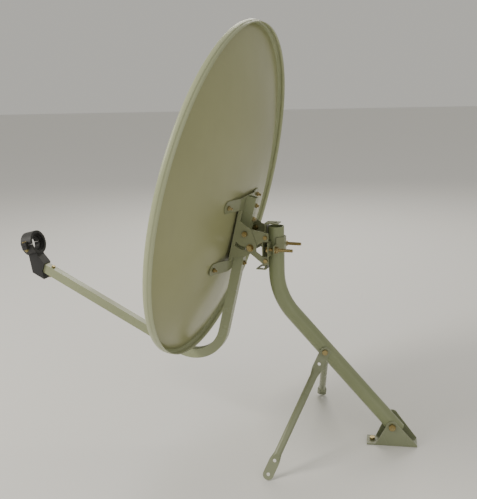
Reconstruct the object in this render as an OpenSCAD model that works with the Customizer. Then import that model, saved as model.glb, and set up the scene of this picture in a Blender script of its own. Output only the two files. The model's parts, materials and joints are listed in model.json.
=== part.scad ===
// Offset satellite dish on a bent mast with a hinged foot and two struts.
// Millimetres. The origin is on the ground under the foot pivot, -Y points forward in the
// mast's plane towards the feed, +X is the right side of the mast and +Z is up.

/* [Reflector] */
// Width across the rim
dish_w = 750; // [640:10:900]
// Focal length of the paraboloid
focal = 480; // [440:5:560]
// Distance from the paraboloid's axis to the lower edge of the bowl
axis_clear = 62; // [30:1:90]
// Width of the rolled rim outside the bowl
rim_w = 10; // [7:1:14]
// Depth of the rim's flange
rim_depth = 19; // [12:1:26]
// Height of the step between the two bands of the flange
rim_step = 2; // [1:0.5:3]
// Thickness of the pressed sheet
sheet_t = 1.2; // [0.8:0.1:2]
// Distance of the rim's centre in front of the mast's axis
rim_fwd = 142; // [136:1:160]
// Height of the rim's centre above the ground
rim_z = 618; // [600:1:660]
// Upward tilt of the rim's plane
rim_tilt = 13.8; // [8:0.1:18]
// Turn of the head about the mast, clockwise seen from above
head_yaw = 9.8; // [0:0.1:30]

/* [Dish bracket] */
// Distance of each pad bolt to the side of the centre line
pad_x = 100; // [80:1:120]
// Height of the upper pad bolts from the rim's centre, in the rim's plane
pad_top = -2; // [-10:1:12]
// Height of the lower pad bolts from the rim's centre, in the rim's plane
pad_low = -157; // [-175:1:-148]
// Radius of the round pads
pad_r = 15; // [12:0.5:18]
// Thickness of the bracket's sheet
plate_t = 2.5; // [2:0.1:3]
// Gap between the reflector's deepest point and the bracket's spine
spine_gap = 5; // [2:0.5:8]
// Half of the distance between the inner faces of the bracket's side flanges
flange_x = 39.6; // [36:0.1:46]
// Depth of the shallow part of the side flanges, above and below the slotted part
lip_h = 9; // [6:0.5:14]
// Depth of the slotted part of the side flanges
flange_h = 62; // [58:1:66]

/* [Feed arm] */
// Depth of the arm's rectangular tube, in the plane of the arm
arm_h = 24; // [20:1:26]
// Width of the arm's tube from side to side
arm_w = 20; // [16:1:26]
// Wall thickness of the arm's tube
arm_wall = 1.5; // [1.2:0.1:2.5]
// Height of the arm's open top end from the rim's centre, in the rim's plane
arm_top = 14; // [6:1:24]
// Height where the lines of the arm's two legs meet
arm_corner = -452; // [-470:1:-446]
// Radius of the arm's bend on its centreline
arm_bend_r = 90; // [60:1:100]
// Upward slope of the front leg from the rim's normal
arm_rise = 11.9; // [6:0.1:18]
// Length of the front leg, from the corner to its end
arm_front = 553; // [520:1:570]

/* [Feed holder] */
// Bore of the throat, which grips the feed's neck
throat_d = 40; // [38:0.5:42]
// Bore of the flared mouths on both faces of the ring
mouth_d = 50; // [46:0.5:52]
// Outer diameter of the ring
ring_d = 64; // [60:1:70]
// Depth of the ring along its bore
ring_depth = 34; // [28:1:38]
// Length of the throat
throat_len = 12; // [8:1:16]
// Angle that the ring's bore looks up from the rim's normal, to face the bowl
feed_aim = 28; // [20:0.5:34]
// Height of the ring's centre over the end of the arm, across the bore
ring_up = 68.5; // [64:0.5:76]
// Distance of the ring's centre past the end of the arm, along the bore
ring_past = 11.2; // [8:0.2:16]
// Width of the holder's stem
stem_w = 30; // [26:1:36]

/* [Elevation joint] */
// Distance of the pivot behind the rim's plane
pivot_back = 97; // [92:1:100]
// Height of the pivot from the rim's centre, in the rim's plane
pivot_up = -68; // [-74:1:-62]
// Radius of the locking slots about the pivot
slot_r = 35; // [32:1:38]
// Half of the slots' angle
slot_half = 38; // [34:1:40]
// Thickness of the cheek plates
cheek_t = 2.5; // [2:0.1:3]

/* [Mast clamp] */
// Height of the clamp bolts above the ground
clamp_z = 493; // [486:1:500]
// Half of the distance between the clamp bolts
clamp_x = 36; // [33:1:37]
// Height of the saddles
saddle_h = 34; // [26:1:34]
// Distance of each saddle's flanges from the mast's axis
saddle_flange = 6; // [4:0.5:9]

/* [Mast] */
// Outer diameter of the mast's tube
mast_d = 38; // [34:1:40]
// Wall thickness of the mast's tube
mast_wall = 1.8; // [1.2:0.1:3]
// Height of the mast's top above the ground
mast_top = 543; // [536:1:546]
// Distance from the foot pivot forward to the mast's upright axis
mast_reach = 280; // [250:1:300]
// Angle of the lower leg from the ground
leg_angle = 49; // [44:0.5:54]
// Radius of the mast's bend on its centreline
mast_bend_r = 160; // [120:5:200]
// Length of tube past the foot pivot
mast_tail = 22; // [18:1:26]

/* [Foot] */
// Length of the foot bracket on the ground
foot_len = 121; // [110:1:140]
// Height of the foot pivot
pivot_z = 50; // [46:1:56]
// Thickness of the foot bracket's sheet
foot_t = 3; // [2:0.5:4]
// Radius of the ears' rounded tops
ear_r = 14; // [12:0.5:18]
// Extra height of the left ear over the right one
left_ear = 12; // [0:1:16]
// Diameter of the anchor holes in the base
anchor_hole = 9; // [7:0.5:11]

/* [Struts] */
// Distance of the strut bolt up the leg from the foot pivot
strut_at = 248; // [230:1:265]
// Length of a strut between the bolt hole and the foot hole
strut_len = 320; // [310:1:330]
// Forward swing of the right strut from the vertical
right_swing = 27; // [0:1:30]
// Forward swing of the left strut from the vertical
left_swing = 7; // [0:1:30]
// Outer diameter of the strut's tube
strut_d = 18; // [15:1:20]
// Half of the width of the strut's flattened ends
tab_r = 12.5; // [11:0.5:14]
// Wall thickness of the strut's tube
strut_wall = 1.4; // [1:0.1:2]
// Thickness of the strut's flattened ends
strut_t = 3.2; // [2.4:0.1:4]
// Length of the strut's flattened ends
strut_flat = 52; // [46:1:60]

/* [Fasteners] */
// Diameter of the small bolts on the pads, arm, cheeks and feed holder
small_d = 6; // [5:0.5:7]
// Diameter of the pivot, lock, clamp and strut bolts
bolt_d = 8; // [7:0.5:9]
// Diameter of the foot pivot bolt
foot_bolt_d = 10; // [8:1:12]
// Radial clearance of a bolt that is a hinge pin
run_gap = 0.05; // [0.02:0.01:0.1]
// Radial clearance of a bolt in a plain hole
hole_gap = 0.3; // [0.2:0.05:0.5]
// Clearance between sheets that slide past each other
slide_gap = 0.4; // [0.3:0.05:0.6]

/* [Hidden] */
$fn = 64;

powder = [0.60, 0.60, 0.51];
olive = [0.50, 0.51, 0.41];
zinc = [0.72, 0.58, 0.25];
black = [0.10, 0.10, 0.11];

// The bowl is the part of a paraboloid that a cylinder parallel to its axis cuts out, so the
// rim is a flat ellipse. Its plane leans from the aperture by the offset angle.
bowl_r = dish_w/2 - rim_w;
bowl_c = axis_clear + bowl_r;
offset_angle = atan(bowl_c/(2*focal));
bowl_h = bowl_r/cos(offset_angle);
chord_z = (pow(bowl_r, 2) + pow(bowl_c, 2))/(4*focal);

// Depth of the bowl's face behind the rim's plane, x to the side and v up from the centre
function bowl_depth(x, v) =
    let(a = sin(offset_angle)/(4*focal),
        c = a*(pow(x, 2) - pow(bowl_r, 2)) - v,
        dr = (sqrt(pow(1/cos(offset_angle), 2) - 4*a*c) - 1/cos(offset_angle))/(2*a))
    dr*sin(offset_angle)
        - (pow(x, 2) + pow(bowl_c + dr, 2) - pow(bowl_r, 2) - pow(bowl_c, 2))
        /(4*focal)*cos(offset_angle);

deepest = max([for (v = [-60:5:20]) bowl_depth(0, v)]);
web_y = deepest + sheet_t + spine_gap;
arm_y = web_y + plate_t + arm_h/2;
flange_back = web_y + flange_h;
cheek_x = flange_x - slide_gap;
channel_x = cheek_x - cheek_t;

mast_r = mast_d/2;
saddle_r = mast_r + slide_gap;
web_fwd = saddle_r + plate_t;
leg_rise = mast_reach*tan(leg_angle);
bend_z = pivot_z + leg_rise + mast_bend_r*tan((90 - leg_angle)/2);
leg_len = mast_reach/cos(leg_angle) - mast_bend_r*tan((90 - leg_angle)/2);
ear_x = mast_r + slide_gap;
strut_y = -strut_at*cos(leg_angle);
strut_z = pivot_z + strut_at*sin(leg_angle);
strut_x = mast_r + slide_gap;

arm_turn = 90 + arm_rise;
arm_bend_v = arm_corner + arm_bend_r*tan(arm_turn/2);
arm_end = [
    -arm_y + arm_front*cos(arm_rise),
    arm_corner + arm_front*sin(arm_rise)
];
side_arc = 96;

// Places of the head: turned about the mast, and of the dish: leaning back in the head
module in_head() translate([0, -mast_reach, 0]) rotate([0, 0, -head_yaw]) children();
module in_dish() in_head() translate([0, -rim_fwd, rim_z]) rotate([-rim_tilt, 0, 0]) children();
module at_arm_end(turn) in_dish()
    translate([0, -arm_end[0], arm_end[1]]) rotate([turn, 0, 0]) children();

// A flat outline in the Y-Z plane, w thick and centred on x
module side_plate(x, w)
    translate([x, 0, 0]) rotate([90, 0, 90]) linear_extrude(w, center = true) children();

// A bolt along Z: its head stands on z = 0 and its shank goes down
module bolt(d, len) {
    cylinder(h = 0.65*d, r = 0.92*d, $fn = 6);
    translate([0, 0, -len]) cylinder(h = len + 0.1, d = d);
}
// A carriage bolt with a low round head, along Z
module round_bolt(d, len) {
    intersection() {
        translate([0, 0, -1.1*d]) sphere(r = 1.55*d);
        cylinder(h = d, r = 1.2*d);
    }
    translate([0, 0, -len]) cylinder(h = len + 0.1, d = d);
}
module nut(d) difference() {
    cylinder(h = 0.8*d, r = 0.92*d, $fn = 6);
    translate([0, 0, -1]) cylinder(h = d + 2, r = d/2 + run_gap);
}
module washer(d, r = 0) difference() {
    cylinder(h = 0.2*d, r = r > 0 ? r : 1.1*d);
    translate([0, 0, -1]) cylinder(h = d, r = d/2 + run_gap);
}

// ---- Foot ----

// The ears start behind the front anchor bolt
ear_front = 22 - foot_len/2;

module ear_outline(rise) {
    top = pivot_z + rise;
    translate([0, top]) circle(ear_r);
    polygon([
        [ear_front, 0], [foot_len/2, 0], [foot_len/2, foot_t + 1],
        [ear_r*sin(40), top + ear_r*cos(40)], [-ear_r*sin(40), top + ear_r*cos(40)],
        [ear_front, foot_t + 1]
    ]);
}
module foot_bracket() color(powder) difference() {
    union() {
        translate([-ear_x - foot_t, -foot_len/2, 0]) cube([2*(ear_x + foot_t), foot_len, foot_t]);
        side_plate(ear_x + foot_t/2, foot_t) ear_outline(0);
        side_plate(-ear_x - foot_t/2, foot_t) ear_outline(left_ear);
    }
    rotate([0, 90, 0]) translate([-pivot_z, 0, -50]) cylinder(h = 100, r = foot_bolt_d/2 + run_gap);
    for (y = [-foot_len/2 + 13, foot_len/2 - 38, foot_len/2 - 13])
        translate([0, y, -1]) cylinder(h = foot_t + 2, d = anchor_hole);
}
foot_grip = 2*(ear_x + foot_t);
module foot_bolt() color(zinc)
    translate([foot_grip/2, 0, pivot_z]) rotate([0, 90, 0]) bolt(foot_bolt_d, foot_grip + 14);
module foot_nut() color(zinc)
    translate([-foot_grip/2, 0, pivot_z]) rotate([0, -90, 0]) nut(foot_bolt_d);
module anchor_bolt() color(zinc) translate([0, -foot_len/2 + 13, foot_t]) {
    translate([0, 0, 0.2*bolt_d]) bolt(bolt_d, foot_t + 0.2*bolt_d);
    washer(bolt_d);
}

// ---- Mast ----

// The mast's solid outer or inner form: upright, bend and leg
module mast_form(r, past) {
    translate([0, -mast_reach, bend_z - 0.2]) cylinder(h = mast_top - bend_z + past + 0.2, r = r);
    translate([0, mast_bend_r - mast_reach, bend_z]) rotate([90, 0, 90]) rotate([0, 0, 180])
        rotate_extrude(angle = 90 - leg_angle, $fn = side_arc) translate([mast_bend_r, 0]) circle(r);
    translate([0, 0, pivot_z]) rotate([90 - leg_angle, 0, 0])
        translate([0, 0, -mast_tail - past])
            cylinder(h = leg_len + mast_tail + past + 0.2, r = r);
}
module mast() color(olive) difference() {
    mast_form(mast_r, 0);
    mast_form(mast_r - mast_wall, 1);
    translate([0, 0, pivot_z]) rotate([0, 90, 0])
        translate([0, 0, -50]) cylinder(h = 100, r = foot_bolt_d/2 + run_gap);
    translate([0, strut_y, strut_z]) rotate([0, 90, 0])
        translate([0, 0, -50]) cylinder(h = 100, r = bolt_d/2 + run_gap);
}
strut_grip = 2*(strut_x + strut_t);
module strut_bolt() color(zinc)
    translate([strut_grip/2, strut_y, strut_z]) rotate([0, 90, 0]) bolt(bolt_d, strut_grip + 11);
module strut_nut() color(zinc)
    translate([-strut_grip/2, strut_y, strut_z]) rotate([0, -90, 0]) nut(bolt_d);

// ---- Struts: a round tube with flattened, drilled ends, bent outwards under the bolt ----

tab_len = 14;
second_hole = 34;

// Outward lean that brings the foot down to the ground, found by repeated substitution
function strut_lean(swing, c = 0.8, n = 12) = n == 0 ? acos(c) :
    strut_lean(swing, (strut_z/cos(swing) - tab_len
        - tab_r*sqrt(pow(tan(swing), 2) + pow(c, 2))
        - strut_t/2*sqrt(1 - pow(c, 2)))/(strut_len - tab_len), n - 1);

module cross_hole(z, r) translate([0, 0, z]) rotate([0, 90, 0]) cylinder(h = 60, r = r, center = true);

// A flattened end in the strut's side plane: as wide as the tube at neck, full width at end
module flat_outline(neck, end, trim) {
    wide = tab_r - trim;
    slim = strut_d/2 - trim;
    full = neck + (end > neck ? 18 : -18);
    polygon([[slim, neck], [wide, full], [wide, end], [-wide, end], [-wide, full], [-slim, neck]]);
}
// The tube with both ends squeezed flat: a round bar between two slanting pairs of planes
module squeezed_tube(rest) {
    tip = strut_t/2 - 0.1;
    reach = strut_flat - strut_d - 0.3;
    intersection() {
        translate([0, 0, -rest]) cylinder(h = rest, d = strut_d);
        rotate([90, 0, 0]) linear_extrude(2*strut_d, center = true) polygon([
            [-tip, -reach], [tip, -reach], [strut_d/2 + 1, -strut_flat],
            [strut_d/2 + 1, strut_flat - rest], [tip, reach - rest], [-tip, reach - rest],
            [-strut_d/2 - 1, strut_flat - rest], [-strut_d/2 - 1, -strut_flat]
        ]);
    }
}
module strut_shank(rest) {
    edge = 0.1;
    difference() {
        union() {
            squeezed_tube(rest);
            side_plate(0, strut_t) {
                flat_outline(-strut_flat, 0.5, edge);
                flat_outline(strut_flat - rest, -rest, edge);
                translate([0, -rest]) circle(tab_r - edge);
            }
        }
        translate([0, 0, strut_flat - rest + 2])
            cylinder(h = rest - 2*strut_flat - 4, d = strut_d - 2*strut_wall);
        for (z = [tab_len - second_hole, second_hole - rest, -rest]) cross_hole(z, bolt_d/2);
    }
}
module strut(side, swing)
    translate([side*(strut_x + strut_t/2), strut_y, strut_z]) rotate([-swing, 0, 0]) {
        difference() {
            side_plate(0, strut_t) {
                circle(tab_r);
                translate([-tab_r, -tab_len]) square([2*tab_r, tab_len]);
            }
            cross_hole(0, bolt_d/2 + run_gap);
        }
        translate([0, 0, -tab_len]) rotate([0, -side*strut_lean(swing), 0])
            strut_shank(strut_len - tab_len);
    }
module right_strut() color(powder) strut(1, right_swing);
module left_strut() color(powder) strut(-1, left_swing);

// ---- Mast clamp: a channel carries the cheeks, and two saddles grip the mast ----

channel_low = clamp_z - 37;
channel_high = clamp_z + 39;
arm_gap = 18;
cheek_end = 8;
loop_fwd = 24;
loop_drop = 18;
tongue_w = 28;
tongue_gap = 6;
cheek_bolt_fwd = 15;
cheek_bolt_z = [(channel_low + clamp_z - arm_gap)/2, (channel_high + clamp_z + arm_gap)/2];

module cheek_bolt_holes() for (z = cheek_bolt_z)
    translate([0, -cheek_bolt_fwd, z]) rotate([0, 90, 0])
        cylinder(h = 100, r = small_d/2 + hole_gap, center = true);

// The channel's two side lips stand above and below the saddle, whose bolts pass between them
module clamp_bracket() color(powder) in_head() difference() {
    translate([0, -web_fwd - plate_t, 0]) union() {
        translate([-channel_x, 0, channel_low])
            cube([2*channel_x, plate_t, channel_high - channel_low]);
        for (x = [-channel_x, channel_x - plate_t])
            for (z = [[channel_low, clamp_z - arm_gap], [clamp_z + arm_gap, channel_high]])
                translate([x, 0, z[0]]) cube([plate_t, web_fwd + plate_t - cheek_end, z[1] - z[0]]);
        translate([-tongue_w/2, 0, channel_high - 1])
            cube([tongue_w, plate_t, mast_top + tongue_gap - channel_high + 2]);
        translate([-tongue_w/2, 0, mast_top + tongue_gap])
            cube([tongue_w, web_fwd + plate_t + 8, plate_t]);
        translate([-20, 0, channel_low - loop_drop]) cube([40, plate_t, loop_drop + 1]);
        translate([-20, plate_t - loop_fwd, channel_low - loop_drop]) cube([40, loop_fwd, plate_t]);
    }
    translate([0, -2, mast_top]) cylinder(h = 20, d = bolt_d);
    translate([-13, -web_fwd - loop_fwd + 5, channel_low - loop_drop - 1])
        cube([26, loop_fwd - 12, plate_t + 2]);
    cheek_bolt_holes();
}

// A bent strap behind or before the mast, seen from above as a hat whose sides touch the tube
module hat_outline(r, lip, half, low) {
    side = r*sqrt(2);
    polygon([
        [-half, low], [half, low], [half, lip], [side - lip, lip],
        [side - r, r], [r - side, r], [lip - side, lip], [-half, lip]
    ]);
}
saddle_face = saddle_flange + plate_t;
module saddle(lift) difference() {
    translate([0, 0, clamp_z - saddle_h/2 + lift]) linear_extrude(saddle_h) difference() {
        hat_outline(saddle_r + plate_t, saddle_face, clamp_x + 9, 0);
        hat_outline(saddle_r, saddle_flange, clamp_x + 10, -1);
    }
    for (s = [-1, 1]) translate([s*clamp_x, 0, clamp_z]) rotate([90, 0, 0])
        cylinder(h = 60, r = bolt_d/2 + hole_gap, center = true);
}
// The rear saddle stands higher at the back of the mast than at its two flanges
saddle_lift = 9;
module rear_saddle() color(powder) in_head() difference() {
    saddle(saddle_lift);
    for (s = [-1, 1]) translate([s*(saddle_r + 24) - 20, 0, clamp_z + 11])
        cube([40, 60, saddle_h]);
}
module front_saddle() color(powder) in_head() rotate([0, 0, 180]) saddle(0);

module clamp_row() in_head() for (s = [-1, 1]) translate([s*clamp_x, 0, clamp_z]) children();
module clamp_bolts() color(zinc) clamp_row()
    translate([0, -saddle_face, 0]) rotate([90, 0, 0]) bolt(bolt_d, 2*saddle_face + 42);
module clamp_washers() color(zinc) clamp_row()
    translate([0, saddle_face, 0]) rotate([-90, 0, 0]) washer(bolt_d);
module clamp_nuts() color(zinc) clamp_row()
    translate([0, saddle_face + 0.2*bolt_d, 0]) rotate([-90, 0, 0]) nut(bolt_d);

flange_face = flange_x + plate_t;

// ---- Elevation joint: cheeks on the mast's side, slotted flanges on the dish's side ----

// A point of the dish, as distance behind the rim's plane and height in it, in the head's Y and Z
function head_y(back, up) = -rim_fwd + back*cos(rim_tilt) + up*sin(rim_tilt);
function head_z(back, up) = rim_z - back*sin(rim_tilt) + up*cos(rim_tilt);

lock_turn = slot_half - 4;
lock_back = pivot_back + slot_r*sin(lock_turn);
lock_up = pivot_up - slot_r*cos(lock_turn);
pivot_y = head_y(pivot_back, pivot_up);
pivot_high = head_z(pivot_back, pivot_up);
lock_y = head_y(lock_back, lock_up);
lock_high = head_z(lock_back, lock_up);

module cheek() difference() {
    side_plate(cheek_x - cheek_t/2, cheek_t) difference() {
        hull() {
            translate([pivot_y, pivot_high]) circle(14, $fn = 32);
            translate([lock_y, lock_high]) circle(12, $fn = 32);
            translate([-cheek_end - 12, channel_low]) square([12, channel_high - channel_low]);
        }
        polygon([
            [-cheek_end + 1, clamp_z - arm_gap], [-cheek_end + 1, clamp_z + arm_gap],
            [-web_fwd, clamp_z + arm_gap], [lock_y + 14, clamp_z + 8],
            [lock_y + 14, clamp_z - 6], [-web_fwd, clamp_z - arm_gap]
        ]);
    }
    for (p = [[pivot_y, pivot_high], [lock_y, lock_high]])
        translate([0, p[0], p[1]]) rotate([0, 90, 0])
            cylinder(h = 100, r = bolt_d/2 + hole_gap, center = true);
    cheek_bolt_holes();
}
module right_cheek() color(powder) in_head() cheek();
module left_cheek() color(powder) in_head() mirror([1, 0, 0]) cheek();

// Sets both fasteners of a mirrored pair: x is the outer face that they stand on
module pair(x, y, z) in_head() for (s = [-1, 1])
    translate([s*x, y, z]) rotate([0, s*90, 0]) children();
module inner_pair(x, y, z) in_head() for (s = [-1, 1])
    translate([s*x, y, z]) rotate([0, -s*90, 0]) children();

module cheek_bolts() color(zinc) for (z = cheek_bolt_z)
    pair(cheek_x, -cheek_bolt_fwd, z) bolt(small_d, cheek_t + plate_t + small_d + 1);
module cheek_nuts() color(zinc) for (z = cheek_bolt_z)
    inner_pair(channel_x - plate_t, -cheek_bolt_fwd, z) nut(small_d);

head_x = flange_face + slide_gap;
grip = head_x - channel_x;
module pivot_bolts() color(zinc)
    pair(head_x, pivot_y, pivot_high) bolt(bolt_d, grip + bolt_d);
module pivot_nuts() color(zinc) inner_pair(channel_x, pivot_y, pivot_high) nut(bolt_d);
module lock_washers() color(zinc) pair(head_x, lock_y, lock_high) washer(bolt_d);
module lock_bolts() color(zinc)
    pair(head_x + 0.2*bolt_d, lock_y, lock_high) bolt(bolt_d, grip + 1.2*bolt_d);
module lock_nuts() color(zinc) inner_pair(channel_x, lock_y, lock_high) nut(bolt_d);

// ---- Reflector ----

rings = 7;
rim_points = 72;
// The flange's section, as distance outside the bowl's edge and distance before the rim's plane
rim_outer = [
    [2, 1.2], [rim_w*0.6, 1.6], [rim_w - 1, 0.9], [rim_w, -0.5], [rim_w, -rim_depth/2],
    [rim_w - rim_step, -rim_depth/2 - 0.8], [rim_w - rim_step, -rim_depth]
];
rim_inner = [
    [rim_w - rim_step - sheet_t, -rim_depth], [rim_w - rim_step - sheet_t, -rim_depth/2 - 0.2],
    [rim_w - sheet_t, -rim_depth/2 + 0.6], [rim_w - sheet_t, -0.9],
    [rim_w*0.6, 1.6 - sheet_t], [2, 1.2 - sheet_t]
];
function bowl_ring(k, drop) = [for (i = [0:rim_points - 1])
    let(a = 360*i/rim_points, x = bowl_r*k/rings*cos(a), dr = bowl_r*k/rings*sin(a),
        dz = (pow(x, 2) + pow(bowl_c + dr, 2))/(4*focal) - chord_z)
    [x, dr*sin(offset_angle) - dz*cos(offset_angle) + drop,
        dr*cos(offset_angle) + dz*sin(offset_angle)]];
function rim_ring(p) = [for (i = [0:rim_points - 1]) let(a = 360*i/rim_points)
    [(bowl_r + p[0])*cos(a), -p[1], (bowl_h + p[0])*sin(a)]];
centre_dz = pow(bowl_c, 2)/(4*focal) - chord_z;
function bowl_middle(drop) = [0, drop - centre_dz*cos(offset_angle), centre_dz*sin(offset_angle)];

module reflector_shell() {
    loops = concat(
        [for (k = [1:rings]) bowl_ring(k, 0)], [for (p = rim_outer) rim_ring(p)],
        [for (p = rim_inner) rim_ring(p)], [for (k = [rings:-1:1]) bowl_ring(k, sheet_t)]
    );
    last = len(loops) - 1;
    n = rim_points;
    polyhedron(
        points = concat([bowl_middle(0)], [for (l = loops) each l], [bowl_middle(sheet_t)]),
        faces = concat(
            [for (i = [0:n - 1]) [0, 1 + i, 1 + (i + 1)%n]],
            [for (l = [0:last - 1]) for (i = [0:n - 1]) each [
                [1 + l*n + i, 1 + (l + 1)*n + i, 1 + (l + 1)*n + (i + 1)%n],
                [1 + l*n + i, 1 + (l + 1)*n + (i + 1)%n, 1 + l*n + (i + 1)%n]]],
            [for (i = [0:n - 1]) [1 + (last + 1)*n, 1 + last*n + (i + 1)%n, 1 + last*n + i]]
        )
    );
}
module pad_places() for (s = [-1, 1]) for (v = [pad_top, pad_low])
    translate([s*pad_x, bowl_depth(pad_x, v), v]) children();

module reflector() color(powder) in_dish() difference() {
    reflector_shell();
    pad_places() rotate([90, 0, 0]) cylinder(h = 20, r = small_d/2 + hole_gap, center = true);
}

// ---- Dish bracket: a wide spine with slotted side flanges and two bars that end in pads ----

spine_top = pad_top + pad_r;
spine_low = pad_low - pad_r;
pad_lift = 0.3;
// Lift of the flat bolt heads over the sloping face of the bowl
head_lift = 1.1;
// Back of the reflector beside a pad at height v, on the pad's edge that is nearer the middle
function pad_back(x, v) = sheet_t + pad_lift + bowl_depth(x, v > -40 ? v - pad_r : v + pad_r);

module flange_outline() difference() {
    hull() {
        translate([web_y, pivot_up - 64]) square([10, 90]);
        translate([pivot_back, pivot_up]) circle(18, $fn = 32);
        translate([flange_back - 16, lock_up + 4]) circle(16, $fn = 32);
        translate([flange_back - 30, lock_up - 18]) circle(10, $fn = 32);
    }
    translate([pivot_back, pivot_up]) slot_outline(bolt_d/2 + hole_gap);
}
// A curved slot about the origin, from slot_half before straight down to slot_half behind it
module slot_outline(r) {
    intersection() {
        difference() {
            circle(slot_r + r);
            circle(slot_r - r);
        }
        polygon([
            [0, 0], 2*slot_r*[-sin(slot_half), -cos(slot_half)],
            [0, -2*slot_r/cos(slot_half/2)], 2*slot_r*[sin(slot_half), -cos(slot_half)]
        ]);
    }
    for (s = [-1, 1]) translate(slot_r*[s*sin(slot_half), -cos(slot_half)]) circle(r);
}
// A cross bar's pad and its step down to the reflector, on the side +x
module bar(v) intersection() {
    translate([0, 0, v - pad_r]) linear_extrude(2*pad_r) polygon([
        [flange_x - 6, web_y], [flange_x + 6, web_y],
        [pad_x - pad_r, pad_back(pad_x - pad_r, v)], [pad_x + pad_r, pad_back(pad_x + pad_r, v)],
        [pad_x + pad_r, pad_back(pad_x + pad_r, v) + plate_t],
        [pad_x - pad_r, pad_back(pad_x - pad_r, v) + plate_t],
        [flange_x + 6, web_y + plate_t], [flange_x - 6, web_y + plate_t]
    ]);
    translate([0, 120, v]) rotate([90, 0, 0]) linear_extrude(100) {
        translate([pad_x, 0]) circle(pad_r);
        translate([0, -pad_r]) square([pad_x, 2*pad_r]);
    }
}
module dish_bracket() color(powder) in_dish() difference() {
    union() {
        translate([-flange_face, web_y, spine_low])
            cube([2*flange_face, plate_t, spine_top - spine_low]);
        for (s = [-1, 1]) {
            side_plate(s*(flange_x + plate_t/2), plate_t) flange_outline();
            translate([s*(flange_x + plate_t/2) - plate_t/2, web_y, spine_low + 2*pad_r])
                cube([plate_t, lip_h, spine_top - spine_low - 4*pad_r]);
        }
        for (v = [pad_top, pad_low]) {
            bar(v);
            mirror([1, 0, 0]) bar(v);
        }
    }
    translate([0, pivot_back, pivot_up]) rotate([0, 90, 0])
        cylinder(h = 200, r = bolt_d/2 + run_gap, center = true);
    pad_places() rotate([90, 0, 0]) cylinder(h = 60, r = small_d/2 + hole_gap, center = true);
    arm_bolt_holes();
}
module dish_bolts() color(zinc) in_dish() pad_places()
    translate([0, -head_lift, 0]) rotate([90, 0, 0])
        round_bolt(small_d, head_lift + sheet_t + plate_t + small_d + 6);
module dish_nuts() color(zinc) in_dish() for (v = [pad_top, pad_low]) for (s = [-1, 1])
    translate([s*pad_x, pad_back(pad_x - 5, v) + plate_t, v]) rotate([-90, 0, 0]) nut(small_d);

// ---- Feed arm ----

// One edge of the arm from the side, off outside its centreline: leg, bend and front leg
function arm_edge(off, past) = concat(
    [[arm_y + off, arm_top + past]],
    [for (k = [0:24]) let(a = -arm_turn*k/24)
        [arm_y - arm_bend_r, arm_bend_v] + (arm_bend_r + off)*[cos(a), sin(a)]],
    [[arm_y - arm_bend_r, arm_bend_v]
        + (arm_bend_r + off)*[cos(arm_turn), -sin(arm_turn)]
        - (front_leg + past)*[sin(arm_turn), cos(arm_turn)]]
);
module arm_outline(inset, past) {
    inner = arm_edge(inset - arm_h/2, past);
    polygon(concat(arm_edge(arm_h/2 - inset, past), [for (k = [len(inner) - 1:-1:0]) inner[k]]));
}
front_leg = arm_front - arm_bend_r*tan(arm_turn/2);
arm_bolt_v = [pad_top - 3, pad_top - 37, pad_low + 5];
module arm_bolt_holes() for (v = arm_bolt_v)
    translate([0, arm_y, v]) rotate([90, 0, 0])
        cylinder(h = 60, r = small_d/2 + hole_gap, center = true);
module feed_arm() color(powder) difference() {
    in_dish() difference() {
        side_plate(0, arm_w) arm_outline(0, 0);
        side_plate(0, arm_w - 2*arm_wall) arm_outline(arm_wall, 1);
        arm_bolt_holes();
    }
    at_arm_end(-arm_rise) holder_bolt_hole();
}
module arm_bolts() color(zinc) in_dish() for (v = arm_bolt_v)
    translate([0, web_y, v]) rotate([90, 0, 0]) round_bolt(small_d, plate_t + arm_h + small_d + 2);
module arm_nuts() color(zinc) in_dish() for (v = arm_bolt_v)
    translate([0, arm_y + arm_h/2, v]) rotate([-90, 0, 0]) nut(small_d);

// ---- Feed holder: a stem plugged into the arm's end, and a split ring for the feed's neck ----

ring_r = ring_d/2;
split = 1.2;
lug_w = 11;
lug_h = 10;
lug_d = 16;
plug_len = 40;
plug_gap = 0.25;
holder_bolt_back = 27;
screw_x = ring_r + lug_w/2 - 0.5;
stem_low = 27;
stem_front = ring_past + ring_depth/2 - 1;

module holder_bolt_hole() translate([0, holder_bolt_back, 0])
    cylinder(h = 60, r = small_d/2 + hole_gap, center = true);

// The bore along Y: a throat that opens in two steps to both mouths
module feed_bore() rotate([90, 0, 0]) {
    cylinder(h = ring_depth + 2, d = throat_d, center = true);
    for (k = [1, 2]) for (s = [-1, 1])
        translate([0, 0, s*(throat_len/2 + (k - 1)*(ring_depth - throat_len)/4 + ring_depth/2)])
            cylinder(h = ring_depth, d = throat_d + k*(mouth_d - throat_d)/2, center = true);
}
module ring_form() {
    rotate([90, 0, 0]) cylinder(h = ring_depth, r = ring_r, center = true);
    translate([-ring_r - lug_w, -lug_d/2, -lug_h]) cube([2*(ring_r + lug_w), lug_d, 2*lug_h]);
}
// The half of the ring above (s = 1) or below (s = -1) the split
module half_ring(s) difference() {
    intersection() {
        ring_form();
        translate([-100, -100, s > 0 ? split/2 : -100 - split/2]) cube([200, 200, 100]);
    }
    feed_bore();
    for (x = [-screw_x, screw_x]) translate([x, 0, 0])
        cylinder(h = 80, r = small_d/2 + hole_gap, center = true);
}
module at_ring() at_arm_end(feed_aim) translate([0, -ring_past, ring_up]) children();

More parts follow.
